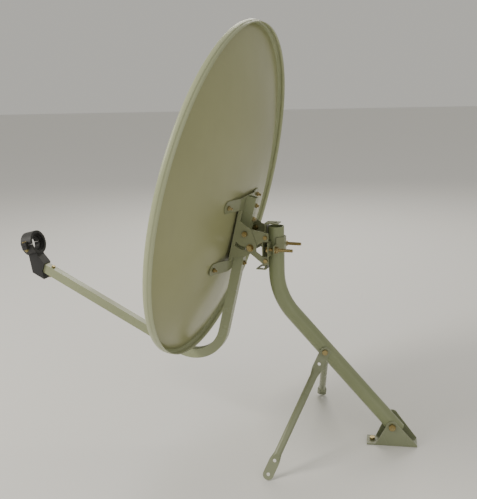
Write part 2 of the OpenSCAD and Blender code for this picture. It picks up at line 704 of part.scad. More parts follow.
// Side outline of the stem: its foot runs parallel to the arm, stem_low under the arm's centreline
module stem_outline() {
    lean = feed_aim + arm_rise;
    under = stem_low*[-sin(lean), -cos(lean)];
    tip = (arm_h/2)*[sin(lean), cos(lean)];
    polygon([
        under + 19*[-cos(lean), sin(lean)], under + 20*[cos(lean), -sin(lean)],
        [0.5, -tip[1]], [tip[0] + 6, tip[1] - 2], [tip[0] + 2, tip[1] + 7], [1, tip[1] + 24],
        [1, ring_up - mouth_d/2 - 1], [-stem_front, ring_up - mouth_d/2 - 1]
    ]);
}
// The space that the arm's end takes in the holder
module arm_pocket() translate([-arm_w/2 - plug_gap, -0.01, -arm_h/2 - plug_gap])
    cube([arm_w + 2*plug_gap, 60, arm_h + 2*plug_gap]);
module plug() difference() {
    translate([arm_wall + plug_gap - arm_w/2, -5, arm_wall + plug_gap - arm_h/2])
        cube([arm_w - 2*(arm_wall + plug_gap), 5 + plug_len, arm_h - 2*(arm_wall + plug_gap)]);
    holder_bolt_hole();
}
module feed_holder() color(black) {
    at_ring() half_ring(-1);
    difference() {
        at_arm_end(feed_aim) side_plate(0, stem_w) stem_outline();
        at_arm_end(-arm_rise) arm_pocket();
    }
    at_arm_end(-arm_rise) plug();
}
module holder_cap() color(black) at_ring() half_ring(1);
module cap_screws() color(zinc) at_ring() for (x = [-screw_x, screw_x])
    translate([x, 0, lug_h]) round_bolt(small_d, 2*lug_h + small_d + 1);
module cap_nuts() color(zinc) at_ring() for (x = [-screw_x, screw_x])
    translate([x, 0, -lug_h]) mirror([0, 0, 1]) nut(small_d);
module holder_bolt() color(zinc) at_arm_end(-arm_rise)
    translate([0, holder_bolt_back, arm_h/2]) bolt(small_d, arm_h + small_d + 1);
module holder_nut() color(zinc) at_arm_end(-arm_rise)
    translate([0, holder_bolt_back, -arm_h/2]) mirror([0, 0, 1]) nut(small_d);

// ---- Nodes ----

foot_bracket();
foot_bolt();
foot_nut();
anchor_bolt();
mast();
strut_bolt();
strut_nut();
right_strut();
left_strut();
clamp_bracket();
front_saddle();
rear_saddle();
right_cheek();
left_cheek();
cheek_bolts();
cheek_nuts();
clamp_bolts();
clamp_nuts();
clamp_washers();
pivot_bolts();
pivot_nuts();
lock_bolts();
lock_washers();
lock_nuts();
reflector();
dish_bracket();
dish_bolts();
dish_nuts();
feed_arm();
arm_bolts();
arm_nuts();
feed_holder();
holder_cap();
cap_screws();
cap_nuts();
holder_bolt();
holder_nut();
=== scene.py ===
# %% [markdown]
# A satellite dish that stands on a bent mast. The frame below holds every real size and joint.
# This lesson gives it the look of the real thing: a smooth pressed bowl, threaded fasteners with
# chamfered heads, softened sheet edges, powder coat, yellow zinc and black moulded plastic.

import json
import math

import bmesh
import bpy
from mathutils import Matrix, Vector


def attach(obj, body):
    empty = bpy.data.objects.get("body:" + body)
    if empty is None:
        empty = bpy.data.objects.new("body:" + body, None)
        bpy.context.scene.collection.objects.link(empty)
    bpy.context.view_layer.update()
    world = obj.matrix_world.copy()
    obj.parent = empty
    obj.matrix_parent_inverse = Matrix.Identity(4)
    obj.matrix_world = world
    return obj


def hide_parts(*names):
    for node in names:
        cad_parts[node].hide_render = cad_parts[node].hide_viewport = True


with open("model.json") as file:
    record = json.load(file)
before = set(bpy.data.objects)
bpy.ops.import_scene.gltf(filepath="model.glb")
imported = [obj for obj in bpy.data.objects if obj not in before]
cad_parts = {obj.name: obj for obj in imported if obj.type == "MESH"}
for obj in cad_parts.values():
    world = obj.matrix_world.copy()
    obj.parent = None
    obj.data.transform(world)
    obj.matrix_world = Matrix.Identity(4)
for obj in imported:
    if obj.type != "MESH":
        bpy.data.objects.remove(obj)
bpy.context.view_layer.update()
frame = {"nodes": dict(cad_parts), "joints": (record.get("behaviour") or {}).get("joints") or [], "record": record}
NODES = frame["nodes"]
BODY_OF = {n: b for b, group in frame["record"]["behaviour"]["bodies"].items() for n in group}

# %% [markdown]
# Trees of nodes make both the finishes and the repeated shapes. A wire wraps one socket, so that
# sums and products of wires can be written as plain expressions, and one method adds any node.


# %% Wires and boards
class Wire:
    """One output socket on a board. Arithmetic on it adds Math nodes."""

    def __init__(self, board, socket):
        self.board = board
        self.socket = socket

    def math(self, operation, *others):
        """One Math node, with this wire first."""
        return self.board.node("ShaderNodeMath", {"operation": operation}, (self, *others))

    def __add__(self, other):
        return self.math("ADD", other)

    def __sub__(self, other):
        return self.math("SUBTRACT", other)

    def __rsub__(self, other):
        return self.board.node("ShaderNodeMath", {"operation": "SUBTRACT"}, (other, self))

    def __mul__(self, other):
        return self.math("MULTIPLY", other)

    def __truediv__(self, other):
        return self.math("DIVIDE", other)

    __radd__ = __add__


class Board:
    """A node tree that is filled one node at a time."""

    def __init__(self, tree):
        self.tree = tree

    def node(self, kind, settings=None, inputs=(), out=0):
        """Adds a node, sets it up, feeds its inputs and returns the wire of one output."""
        made = self.tree.nodes.new(kind)
        for name, value in (settings or {}).items():
            setattr(made, name, value)
        pairs = inputs.items() if isinstance(inputs, dict) else enumerate(inputs)
        for key, value in pairs:
            self.feed(made.inputs[key], value)
        usable = [s for s in made.outputs if s.enabled]
        socket = made.outputs[out] if isinstance(out, str) else usable[out] if usable else None
        wire = Wire(self, socket)
        wire.made = made
        return wire

    def feed(self, socket, value):
        if isinstance(value, Wire):
            self.tree.links.new(value.socket, socket)
        elif isinstance(value, (list, tuple)) and value and isinstance(value[0], Wire):
            for wire in value:
                self.tree.links.new(wire.socket, socket)
        else:
            socket.default_value = value


# %% [markdown]
# A finish is a set of wires into one Principled shader. Weather changes what is painted: dust
# settles where a face looks up, rain leaves faint upright streaks, and the coat is never quite
# even. All patterns are solid noises in the object's own space, so they sit still on the piece.


# %% Noises and weather
class Finish(Board):
    """A surface finish with one Principled shader."""

    def __init__(self, name, **constants):
        self.material = bpy.data.materials.new(name)
        self.material.use_nodes = True
        super().__init__(self.material.node_tree)
        self.shader = self.tree.nodes["Principled BSDF"]
        for socket, value in constants.items():
            self.shader.inputs[socket.replace("_", " ")].default_value = value
        self.place = self.node("ShaderNodeTexCoord", out="Object")

    def noise(self, scale, detail=3.0, stretch=(1.0, 1.0, 1.0)):
        where = self.node("ShaderNodeMapping", inputs={"Vector": self.place, "Scale": stretch})
        return self.node(
            "ShaderNodeTexNoise", inputs={"Vector": where, "Scale": scale, "Detail": detail}
        )

    def band(self, value, low, high):
        """0 below low, 1 above high and smooth between."""
        settings = {"interpolation_type": "SMOOTHSTEP"}
        return self.node("ShaderNodeMapRange", settings, {0: value, 1: low, 2: high})

    def mix(self, factor, first, second):
        settings = {"data_type": "RGBA"}
        made = self.node("ShaderNodeMix", settings, {"Factor": factor}).made
        self.feed(made.inputs[6], first)
        self.feed(made.inputs[7], second)
        return Wire(self, made.outputs[2])

    def dust(self):
        normal = self.node("ShaderNodeNewGeometry", out="Normal")
        facing = self.node("ShaderNodeSeparateXYZ", inputs=[normal], out="Z")
        return self.band(facing, 0.15, 1.0) * self.band(self.noise(9.0, 6.0), 0.3, 0.75)

    def streaks(self):
        return self.band(self.noise(38.0, 4.0, (1.0, 1.0, 0.06)), 0.52, 0.78)

    def specks(self, scale, size):
        cells = self.node("ShaderNodeTexVoronoi", inputs={"Vector": self.place, "Scale": scale})
        return 1 - self.band(cells, size * 0.5, size)

    def grain(self, height, strength, distance):
        inputs = {"Strength": strength, "Distance": distance, "Height": height}
        self.feed(self.shader.inputs["Normal"], self.node("ShaderNodeBump", inputs=inputs))

    def feeds(self, **wires):
        for socket, wire in wires.items():
            self.feed(self.shader.inputs[socket.replace("_", " ")], wire)
        return self.material


# %% [markdown]
# The steel parts are powder coated: a paint that is sprayed dry and baked, so it is thick, a
# little rippled like orange peel, and half glossy. Several shades are used, since the bowl, the
# brackets, the arm and the mast take the spray differently and come from other batches. The rim's
# shade is painted light: it is lighter than the bowl's, though both are one pressed sheet, and
# stands in for the light that the rim catches while the bowl's back lies in shade.


# %% Powder coats
GRIME = (0.20, 0.19, 0.15, 1.0)
DUST = (0.52, 0.50, 0.37, 1.0)
BARE_STEEL = (0.16, 0.14, 0.12, 1.0)


def powder_coat(name, light, deep, gloss, wear):
    """Baked paint between two shades of one colour, with dust, streaks and small chips."""
    coat = Finish(name, Metallic=0.0, Coat_Weight=0.0, Specular_IOR_Level=0.5)
    patches = coat.band(coat.noise(3.2, 5.0), 0.3, 0.7)
    cloud = coat.noise(14.0, 6.0)
    shade = coat.mix(patches * 0.7 + cloud * 0.3, light, deep)
    streaked = coat.mix(coat.streaks() * 0.07, shade, GRIME)
    dust = coat.dust()
    dusty = coat.mix(dust * 0.22, streaked, DUST)
    chips = coat.specks(120.0, 0.12) * coat.band(coat.noise(26.0, 2.0), 0.60, 0.70) * wear
    colour = coat.mix(chips, dusty, BARE_STEEL)
    coat.grain(coat.noise(900.0, 2.0) * 0.7 + coat.noise(240.0, 2.0) * 0.3, 0.16, 0.0006)
    rough = gloss + dust * 0.22 + cloud * 0.10 + chips * 0.2
    return coat.feeds(Base_Color=colour, Roughness=rough)


bowl_coat = powder_coat("bowl_coat", (0.335, 0.34, 0.175, 1), (0.285, 0.29, 0.145, 1), 0.27, 0.2)
# The rim's coat is a lighter copy of the bowl's: painted light, for the light the rim catches.
rim_coat = powder_coat("rim_coat", (0.44, 0.47, 0.29, 1), (0.38, 0.41, 0.245, 1), 0.27, 0.4)
bracket_coat = powder_coat("bracket_coat", (0.235, 0.25, 0.14, 1), (0.195, 0.21, 0.115, 1), 0.27, 0.6)
foot_coat = powder_coat("foot_coat", (0.25, 0.275, 0.17, 1), (0.205, 0.225, 0.135, 1), 0.22, 0.8)
arm_coat = powder_coat("arm_coat", (0.30, 0.325, 0.195, 1), (0.255, 0.28, 0.16, 1), 0.22, 0.5)
mast_coat = powder_coat("mast_coat", (0.25, 0.28, 0.15, 1), (0.205, 0.235, 0.12, 1), 0.25, 0.7)

# %% [markdown]
# The fasteners are zinc plated and passivated in a yellow bath, which leaves a thin film that
# wanders between straw, brass and a hint of green.


# %% Yellow zinc
def yellow_zinc():
    """Passivated zinc plating, with a wandering tint and a fine satin grain."""
    plate = Finish("yellow_zinc", Metallic=0.92, IOR=1.5)
    tint = plate.band(plate.noise(55.0, 3.0), 0.32, 0.68)
    straw = plate.mix(tint, (0.25, 0.185, 0.065, 1), (0.37, 0.30, 0.145, 1))
    green = plate.band(plate.noise(31.0, 2.0), 0.55, 0.75)
    colour = plate.mix(green * 0.4, straw, (0.27, 0.29, 0.14, 1))
    dull = plate.band(plate.noise(90.0, 4.0), 0.5, 0.8)
    plate.grain(plate.noise(1500.0, 2.0), 0.10, 0.0003)
    return plate.feeds(Base_Color=colour, Roughness=0.27 + dull * 0.25)


zinc = yellow_zinc()

# %% [markdown]
# The feed holder is moulded from black plastic that has been filled with fibres against the sun.
# Its skin is even and fine grained, and dust shows on it more than on the paint.


# %% Black plastic
def black_plastic():
    """Moulded plastic with a fine grain and a little dust."""
    skin = Finish("black_plastic", Metallic=0.0, Specular_IOR_Level=0.45)
    dust = skin.dust()
    base = skin.mix(skin.noise(20.0, 4.0), (0.014, 0.014, 0.015, 1), (0.024, 0.024, 0.026, 1))
    colour = skin.mix(dust * 0.22, base, (0.25, 0.24, 0.22, 1))
    skin.grain(skin.noise(1800.0, 3.0), 0.22, 0.0003)
    return skin.feeds(Base_Color=colour, Roughness=0.42 + skin.noise(60.0, 3.0) * 0.12 + dust * 0.2)


plastic = black_plastic()
print("finishes:", sorted(finish.name for finish in bpy.data.materials))

# %% [markdown]
# Shapes that follow a rule come from Geometry Nodes. A recipe has named inputs; running it on a
# small base mesh and copying the evaluated result gives a plain mesh, with the modifier gone.


# %% Recipes
class Recipe(Board):
    """A Geometry Nodes tree with named inputs."""

    def __init__(self, name, **numbers):
        super().__init__(bpy.data.node_groups.new(name, "GeometryNodeTree"))
        face = self.tree.interface
        face.new_socket("Geometry", in_out="INPUT", socket_type="NodeSocketGeometry")
        face.new_socket("Geometry", in_out="OUTPUT", socket_type="NodeSocketGeometry")
        for label, value in numbers.items():
            made = face.new_socket(label, in_out="INPUT", socket_type="NodeSocketFloat")
            made.default_value = value
        face.new_socket("Material", in_out="INPUT", socket_type="NodeSocketMaterial")
        self.entry = self.tree.nodes.new("NodeGroupInput")

    def given(self, label):
        return Wire(self, self.entry.outputs[label])

    def geo(self, kind, settings=None, **inputs):
        named = {key.replace("_", " "): value for key, value in inputs.items()}
        return self.node("GeometryNode" + kind, settings, named)

    def finish(self, geometry):
        """Realizes the instances, sets the material and ends the tree."""
        real = self.geo("RealizeInstances", Geometry=geometry)
        dressed = self.geo("SetMaterial", Geometry=real, Material=self.given("Material"))
        end = self.tree.nodes.new("NodeGroupOutput")
        self.tree.links.new(dressed.socket, end.inputs[0])
        return self

    def run(self, base, material, **numbers):
        """Runs the tree on a base mesh and returns the result as a plain mesh."""
        holder = bpy.data.objects.new("holder", base)
        bpy.context.scene.collection.objects.link(holder)
        modifier = holder.modifiers.new("recipe", "NODES")
        modifier.node_group = self.tree
        for item in self.tree.interface.items_tree:
            if item.in_out == "INPUT" and item.name in numbers:
                modifier[item.identifier] = numbers[item.name]
            if item.in_out == "INPUT" and item.name == "Material":
                modifier[item.identifier] = material
        bpy.context.view_layer.update()
        graph = bpy.context.evaluated_depsgraph_get()
        mesh = bpy.data.meshes.new_from_object(holder.evaluated_get(graph))
        bpy.data.objects.remove(holder)
        return mesh


def add_piece(name, mesh, *nodes, sharp=35.0):
    """Makes a mesh the piece that stands for CAD nodes of one body."""
    mesh.set_sharp_from_angle(angle=math.radians(sharp))
    piece = bpy.data.objects.new(name, mesh)
    bpy.context.scene.collection.objects.link(piece)
    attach(piece, BODY_OF[nodes[0]])
    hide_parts(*nodes)
    return piece


# %% [markdown]
# Two places are used again and again: the head, turned about the mast's upright, and the dish,
# which leans back in the head. Both are stated once, from the joints of the frame.

# %% Places
MM = 0.001
MAST_REACH = 280 * MM
HEAD_YAW = 9.8
RIM_FORWARD = 142 * MM
RIM_HEIGHT = 618 * MM
RIM_TILT = 13.8


def turned(degrees, axis):
    return Matrix.Rotation(math.radians(degrees), 4, axis)


HEAD = Matrix.Translation((0, -MAST_REACH, 0)) @ turned(-HEAD_YAW, "Z")
DISH = HEAD @ Matrix.Translation((0, -RIM_FORWARD, RIM_HEIGHT)) @ turned(-RIM_TILT, "X")
pivot = Vector(next(j for j in frame["joints"] if j["name"] == "elevation")["pos_m"])
print("pivot in the dish's place, mm:", [round(v / MM, 1) for v in DISH.inverted() @ pivot])

# %% [markdown]
# The reflector is pressed from one sheet. Its face is the piece of a paraboloid that a round
# cylinder cuts out, so its edge is a flat ellipse. It could be carved out of a solid, but a rule
# is cleaner: a flat grid of radius and angle is moved onto the paraboloid, the rim's bands are
# moved onto wider and wider ellipses, and a Solidify modifier gives the sheet its thickness.


# %% The bowl's recipe
BOWL = {
    "Radius": 365 * MM,
    "Clear": 62 * MM,
    "Focal": 480 * MM,
    "Rim": 10 * MM,
    "Depth": 19 * MM,
}
SEAM = 0.03 * MM


def bowl_recipe():
    """Bowl and rolled rim as one open sheet, facing -Y."""
    r = Recipe("bowl_recipe", **BOWL)
    radius, focal = r.given("Radius"), r.given("Focal")
    centre = r.given("Clear") + radius
    lean = (centre / (focal * 2)).math("ARCTANGENT")
    sin_lean = lean.math("SINE")
    cos_lean = lean.math("COSINE")

    def moved(rows, rule):
        grid = r.geo("MeshGrid", Size_X=1.0, Size_Y=1.0, Vertices_X=rows, Vertices_Y=289)
        place = r.node("ShaderNodeSeparateXYZ", inputs=[r.geo("InputPosition")])
        across = Wire(r, place.made.outputs[0]) + 0.5
        angle = (Wire(r, place.made.outputs[1]) + 0.5) * math.tau
        point = r.node(
            "ShaderNodeCombineXYZ",
            inputs=rule(across, angle.math("COSINE"), angle.math("SINE")),
        )
        return r.geo("SetPosition", Geometry=grid, Position=point)

    def on_bowl(across, cosine, sine):
        x = radius * across * cosine
        rise = radius * across * sine
        height = (x * x + (centre + rise) * (centre + rise)) / (focal * 4)
        sag = height - (radius * radius + centre * centre) / (focal * 4)
        return x, rise * sin_lean - sag * cos_lean, rise * cos_lean + sag * sin_lean

    def on_rim(start, end):
        def rule(across, cosine, sine):
            out = start[0] + (end[0] - start[0]) * across
            forward = start[1] + (end[1] - start[1]) * across
            return (radius + out) * cosine, forward * -1, (radius / cos_lean + out) * sine

        return rule

    rim, depth = r.given("Rim"), r.given("Depth")
    section = [
        (rim * 0.0, rim * 0.0),
        (rim * 0.08, rim * 0.08),
        (rim * 0.2, rim * 0.13),
        (rim * 0.55, rim * 0.16),
        (rim * 0.78, rim * 0.13),
        (rim * 0.92, rim * 0.04),
        (rim * 1.0, rim * -0.1),
        (rim * 1.0, depth * -0.48),
        (rim * 0.97, depth * -0.515),
        (rim * 0.83, depth * -0.545),
        (rim * 0.80, depth * -0.58),
        (rim * 0.80, depth * -1.0),
    ]
    bands = [moved(40, on_bowl)]
    bands += [moved(2, on_rim(a, b)) for a, b in zip(section, section[1:])]
    joined = r.geo("JoinGeometry", Geometry=bands[::-1])
    closed = r.geo("MergeByDistance", Geometry=joined, Distance=SEAM)
    return r.finish(r.geo("SetShadeSmooth", Geometry=closed))


# %% Press the bowl
EDGE = 1.0005
LEAN = math.atan((BOWL["Clear"] + BOWL["Radius"]) / (2 * BOWL["Focal"]))
SHEET = 1.2 * MM


def past_the_edge(place):
    """Whether a point of the sheet lies outside the bowl's elliptical edge."""
    half_width, half_height = BOWL["Radius"], BOWL["Radius"] / math.cos(LEAN)
    return Vector((place.x / half_width, place.z / half_height)).length > EDGE


def pressed_bowl():
    """Runs the recipe, turns the faces to the front and gives the sheet its thickness."""
    mesh = bowl_recipe().run(bpy.data.meshes.new("seed"), bowl_coat)
    shape = bmesh.new()
    shape.from_mesh(mesh)
    bmesh.ops.remove_doubles(shape, verts=shape.verts, dist=SEAM)
    middle = min(shape.faces, key=lambda f: f.calc_center_median().xz.length)
    bmesh.ops.recalc_face_normals(shape, faces=shape.faces)
    if middle.normal.y > 0:
        bmesh.ops.reverse_faces(shape, faces=shape.faces)
    shape.to_mesh(mesh)
    shape.free()
    mesh.materials.clear()
    # Faces past the bowl's edge take the lighter rim coat, which is painted light, not another paint.
    for coat in (bowl_coat, rim_coat):
        mesh.materials.append(coat)
    for face in mesh.polygons:
        face.material_index = 1 if past_the_edge(face.center) else 0
    mesh.transform(DISH)
    piece = add_piece("pressed_bowl", mesh, "reflector", sharp=50.0)
    wall = piece.modifiers.new("sheet", "SOLIDIFY")
    wall.thickness = SHEET
    wall.offset = -1.0
    print("bowl faces:", len(mesh.polygons))


pressed_bowl()

# %% [markdown]
# Every bolt, nut and washer is the same few shapes, set at many seats. A seat is a point with the
# direction that its head faces. One recipe puts a chamfered hexagon there, another a low round
# head, and the shank's thread is a row of ridges, repeated down the shank by its length.


# %% Fastener recipes
# Proportions, as shares of the thread's nominal diameter
HEIGHTS = {"hex": 0.65, "round": 0.45, "nut": 0.8, "washer": 0.2}
HEX_CORNER = 0.92
WASHER_RADIUS = 1.1
DOME_RADIUS = 1.09
DOME_FLATNESS = 0.41
PITCH = 0.155
CORE_RADIUS = 0.455
ROOT_RADIUS = 0.45
CREST_RADIUS = 0.5
# The cone that turns off a hexagon's corners, as shares of the hexagon's size
CONE_TOP = 0.84
CONE_BOTTOM = 1.30
CONE_HEIGHT = 1.02


def at_seats(r, part):
    """Copies a part to every seat, turned to face the way the seat does."""
    facing = r.geo("InputNamedAttribute", {"data_type": "FLOAT_VECTOR"}, Name="facing")
    turn = r.node("FunctionNodeAlignRotationToVector", {"axis": "Z"}, {"Vector": facing})
    return r.geo("InstanceOnPoints", Points=r.given("Geometry"), Instance=part, Rotation=turn)


def raised(r, part, height):
    shift = r.node("ShaderNodeCombineXYZ", inputs={"Z": height})
    return r.geo("Transform", Geometry=part, Translation=shift)


def hexagon(r, across, height):
    """A hexagon whose corners are turned off by a cone, standing on z = 0."""
    prism = r.geo("MeshCylinder", Vertices=6, Radius=across, Depth=height).made
    cone = r.geo(
        "MeshCone",
        Vertices=48,
        Radius_Top=across * CONE_TOP,
        Radius_Bottom=across * CONE_BOTTOM,
        Depth=height * CONE_HEIGHT,
    ).made
    bodies = [raised(r, Wire(r, prism.outputs[0]), height / 2), Wire(r, cone.outputs[0])]
    return r.node("GeometryNodeMeshBoolean", {"operation": "INTERSECT"}, {1: bodies})


def threaded(r, diameter, length):
    """A shank from z = 0 down, with a ridge every pitch."""
    core = r.geo("MeshCylinder", Vertices=32, Radius=diameter * CORE_RADIUS, Depth=length).made
    shank = raised(r, Wire(r, core.outputs[0]), length / -2)
    pitch = diameter * PITCH
    root, crest = diameter * ROOT_RADIUS, diameter * CREST_RADIUS

    def flank(top, bottom):
        half = pitch * 0.5
        cone = r.geo("MeshCone", Vertices=32, Radius_Top=top, Radius_Bottom=bottom, Depth=half)
        return Wire(r, cone.made.outputs[0])

    flanks = [raised(r, flank(root, crest), pitch * 0.5), flank(crest, root)]
    ridge = r.geo("JoinGeometry", Geometry=flanks)
    row = r.geo("MeshLine", Count=(length / pitch - 1.2).math("FLOOR"))
    step = r.node("ShaderNodeCombineXYZ", inputs={"Z": pitch * -1})
    r.feed(row.made.inputs["Offset"], step)
    start = r.node("ShaderNodeCombineXYZ", inputs={"Z": pitch * -1.2})
    r.feed(row.made.inputs["Start Location"], start)
    ridges = r.geo("InstanceOnPoints", Points=row, Instance=ridge)
    return r.geo("JoinGeometry", Geometry=[shank, ridges])


def bolt_recipe(name, head):
    r = Recipe(name, Diameter=0.008, Length=0.03)
    diameter, length = r.given("Diameter"), r.given("Length")
    whole = r.geo("JoinGeometry", Geometry=[head(r, diameter), threaded(r, diameter, length)])
    return r.finish(at_seats(r, whole))


def hex_head(r, diameter):
    return hexagon(r, diameter * HEX_CORNER, diameter * HEIGHTS["hex"])


def round_head(r, diameter):
    ball = r.geo("MeshUVSphere", Segments=40, Rings=24, Radius=diameter * DOME_RADIUS).made
    low = r.node("ShaderNodeCombineXYZ", inputs={"X": 1.0, "Y": 1.0, "Z": DOME_FLATNESS})
    return r.geo("Transform", Geometry=Wire(r, ball.outputs[0]), Scale=low)


def nut_body(r, diameter):
    return hexagon(r, diameter * HEX_CORNER, diameter * HEIGHTS["nut"])


def washer_body(r, diameter):
    radius, height = diameter * WASHER_RADIUS, diameter * HEIGHTS["washer"]
    disc = r.geo("MeshCylinder", Vertices=48, Radius=radius, Depth=height).made
    return raised(r, Wire(r, disc.outputs[0]), height / 2)


def ring_recipe(name, body):
    """Nuts and washers: a body on each seat that faces along the bolt."""
    r = Recipe(name, Diameter=0.008)
    return r.finish(at_seats(r, body(r, r.given("Diameter"))))


KINDS = {
    "hex": bolt_recipe("hex_bolt", hex_head),
    "round": bolt_recipe("round_bolt", round_head),
    "nut": ring_recipe("nut", nut_body),
    "washer": ring_recipe("washer", washer_body),
}


# %% [markdown]
# The frame's own bolts say where each seat is: a closed solid of the CAD node is one fastener,
# and its two ends along the shank's direction give the seat and the length. Reading the seats
# from the frame keeps the looks and the collision shapes together.


# %% Read the seats
def islands(mesh):
    """The separate closed shells of a mesh, each as a list of points."""
    shape = bmesh.new()
    shape.from_mesh(mesh)
    bmesh.ops.remove_doubles(shape, verts=shape.verts, dist=1e-6)
    left = set(shape.verts)
    found = []
    while left:
        stack = [left.pop()]
        shell = []
        while stack:
            vert = stack.pop()
            shell.append(vert.co.copy())
            for edge in vert.link_edges:
                other = edge.other_vert(vert)
                if other in left:
                    left.remove(other)
                    stack.append(other)
        found.append(shell)
    shape.free()
    return found


def seat(shell, axis, head_height):
    """The seat of one fastener, under its head at the end that axis points to, and its length."""
    reach = [point.dot(axis) for point in shell]
    low, high = min(reach), max(reach)
    under = high - head_height
    across = [point - axis * point.dot(axis) for point in shell]
    wide = [p for p, a in zip(across, reach) if a > high - head_height * 0.6]
    box = Vector([(min(p[i] for p in wide) + max(p[i] for p in wide)) / 2 for i in range(3)])
    middle = box - axis * box.dot(axis)
    return middle + axis * under, under - low


def seats_mesh(rows):
    mesh = bpy.data.meshes.new("seats")
    mesh.from_pydata([point for point, facing in rows], [], [])
    facing = mesh.attributes.new("facing", "FLOAT_VECTOR", "POINT")
    for item, (point, direction) in zip(facing.data, rows):
        item.vector = direction
    return mesh


# %% [markdown]
# Which way a fastener faces depends on where it sits. Bolts through the head's sides face away
# from its middle plane and their nuts face towards it. The clamp's bolts run level from front to
# back, those of the bowl and the arm follow the bowl's own front, and the ring's and the
# holder's follow the ring's and the front leg's upright.

# %% Directions
RIGHT, FORWARD, UP = Vector((1, 0, 0)), Vector((0, -1, 0)), Vector((0, 0, 1))
RING_PITCH = 28.0
ARM_RISE = 11.9


def along(place, direction):
    """A direction of a place, in the shared frame."""
    return (place.to_3x3() @ direction).normalized()


SIDE = along(HEAD, RIGHT)
FRONT = along(HEAD, FORWARD)
BEAM = along(DISH, FORWARD)
AIM = DISH @ turned(RING_PITCH, "X")
RING_UP = along(AIM, UP)
ARM_UP = along(DISH @ turned(-ARM_RISE, "X"), UP)
HEAD_ORIGIN = HEAD.translation


def outward(axis):
    """Facing away from the head's middle plane."""
    return lambda centre: axis if (centre - HEAD_ORIGIN).dot(axis) > 0 else -axis


def inward(axis):
    return lambda centre: -axis if (centre - HEAD_ORIGIN).dot(axis) > 0 else axis


def always(axis):
    return lambda centre: axis


FASTENERS = {
    "foot_bolt": ("hex", 10, always(RIGHT)),
    "foot_nut": ("nut", 10, always(-RIGHT)),
    "strut_bolt": ("hex", 8, always(RIGHT)),
    "strut_nut": ("nut", 8, always(-RIGHT)),
    "cheek_bolts": ("hex", 6, outward(SIDE)),
    "cheek_nuts": ("nut", 6, inward(SIDE)),
    "clamp_bolts": ("hex", 8, always(FRONT)),
    "clamp_washers": ("washer", 8, always(-FRONT)),
    "clamp_nuts": ("nut", 8, always(-FRONT)),
    "pivot_bolts": ("hex", 8, outward(SIDE)),
    "pivot_nuts": ("nut", 8, inward(SIDE)),
    "lock_bolts": ("hex", 8, outward(SIDE)),
    "lock_washers": ("washer", 8, outward(SIDE)),
    "lock_nuts": ("nut", 8, inward(SIDE)),
    "dish_bolts": ("round", 6, always(BEAM)),
    "dish_nuts": ("nut", 6, always(-BEAM)),
    "arm_bolts": ("round", 6, always(BEAM)),
    "arm_nuts": ("nut", 6, always(-BEAM)),
    "cap_screws": ("round", 6, always(RING_UP)),
    "cap_nuts": ("nut", 6, always(-RING_UP)),
    "holder_bolt": ("hex", 6, always(ARM_UP)),
    "holder_nut": ("nut", 6, always(-ARM_UP)),
    "anchor_bolt": ("hex", 8, always(UP)),
}


# %% Make the fasteners
def make_fasteners(node):
    """Replaces one CAD node of fasteners by threaded, chamfered ones on the same seats."""
    kind, size, facing_of = FASTENERS[node]
    rows = []
    length = 0.0
    for shell in islands(NODES[node].data):
        centre = sum(shell, Vector()) / len(shell)
        axis = facing_of(centre)
        point, shank = seat(shell, axis, HEIGHTS[kind] * size * MM)
        length = max(length, shank)
        rows.append((point, axis))
    numbers = {"Diameter": size * MM, "Length": length}
    mesh = KINDS[kind].run(seats_mesh(rows), zinc, **numbers)
    add_piece(node + "_made", mesh, node, sharp=28.0)
    print(node, kind, "x", len(rows), "shank mm", round(length / MM, 1))


for fastener in FASTENERS:
    make_fasteners(fastener)

# %% [markdown]
# Bent sheet and tube never have knife edges: the press rounds them and the paint rounds them
# more. Each remaining solid is copied, its flat triangles are melted into faces, and a narrow
# bevel catches the light along its edges, which is most of what makes metal look like metal.


# %% Soften the edges
def softened(name, node, width, material):
    """A copy of a CAD node with narrow rounded edges."""
    mesh = NODES[node].data.copy()
    shape = bmesh.new()
    shape.from_mesh(mesh)
    bmesh.ops.remove_doubles(shape, verts=shape.verts, dist=2e-6)
    bmesh.ops.dissolve_limit(
        shape, angle_limit=math.radians(0.6), verts=shape.verts, edges=shape.edges
    )
    shape.to_mesh(mesh)
    shape.free()
    mesh.materials.clear()
    mesh.materials.append(material)
    for face in mesh.polygons:
        face.use_smooth = True
        face.material_index = 0
    piece = add_piece(name, mesh, node, sharp=32.0)
    edge = piece.modifiers.new("edges", "BEVEL")
    edge.width = width * MM
    edge.segments = 2
    edge.limit_method = "ANGLE"
    edge.angle_limit = math.radians(40)
    edge.use_clamp_overlap = True
    print(name, "faces", len(mesh.polygons))


SOLIDS = [
    ("foot_plate", "foot_bracket", 0.5, foot_coat),
    ("mast_tube", "mast", 0.4, mast_coat),
    ("strut_right", "right_strut", 0.4, foot_coat),
    ("strut_left", "left_strut", 0.4, foot_coat),
    ("clamp_channel", "clamp_bracket", 0.5, bracket_coat),
    ("saddle_front", "front_saddle", 0.5, bracket_coat),
    ("saddle_rear", "rear_saddle", 0.5, bracket_coat),
    ("cheek_right", "right_cheek", 0.4, bracket_coat),
    ("cheek_left", "left_cheek", 0.4, bracket_coat),
    ("spine_bracket", "dish_bracket", 0.5, bracket_coat),
    ("arm_tube", "feed_arm", 1.2, arm_coat),
    ("ring_holder", "feed_holder", 0.7, plastic),
    ("ring_cap", "holder_cap", 0.7, plastic),
]
for row in SOLIDS:
    softened(*row)

# %% [markdown]
# The feed's neck is gripped by fine ribs inside the ring. Each half has its own arcs, which stop
# short of the split. They could be cut into the plastic; laid on it as thin beads they keep the
# bore's steps crisp. Each bead stands 0.7 mm proud of its step, also in the throat. A row of
# seats holds each arc's radius, and one recipe sweeps them all.


# %% Ribs in the ring
HALF_TURN = 180.0
RIB_GAP = 4.0


